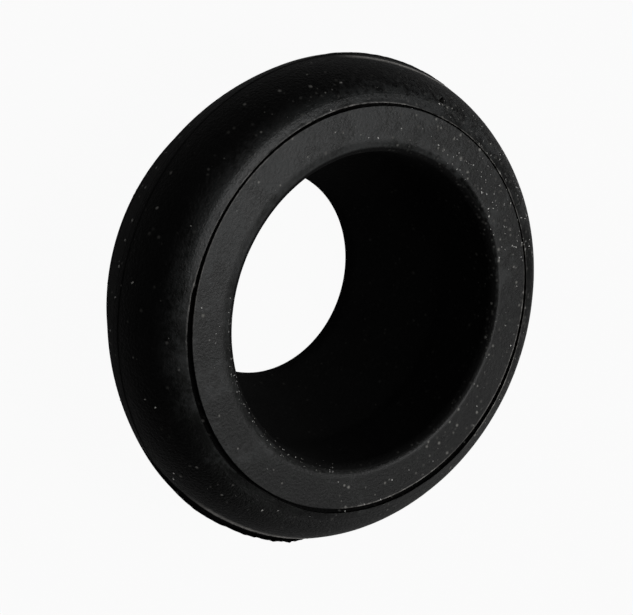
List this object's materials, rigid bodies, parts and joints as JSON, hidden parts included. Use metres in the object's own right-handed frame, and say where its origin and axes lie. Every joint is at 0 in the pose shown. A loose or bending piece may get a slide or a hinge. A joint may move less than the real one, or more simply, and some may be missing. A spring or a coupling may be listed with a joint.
{
  "type": "rubber pipe seal",
  "caption": "Moulded rubber reducing seal: a rounded collar and tapered nose press into a pipe socket, and a grip bore with an inward lip closes round a smaller pipe.",
  "frame": {"origin": "centre of the flat rear face, where the seal stands", "axes": "+Z along the ring's axis, from the rear face to the front face; the ring is round about it, so X and Y are free"},
  "size_m": [0.0506, 0.0504, 0.0195],
  "materials": {
    "black_rubber": "matte moulded black rubber with a faint sheen and a little pale dust"
  },
  "bodies": {
    "root": {"pipe_seal": "black_rubber"}
  },
  "joints": []
}
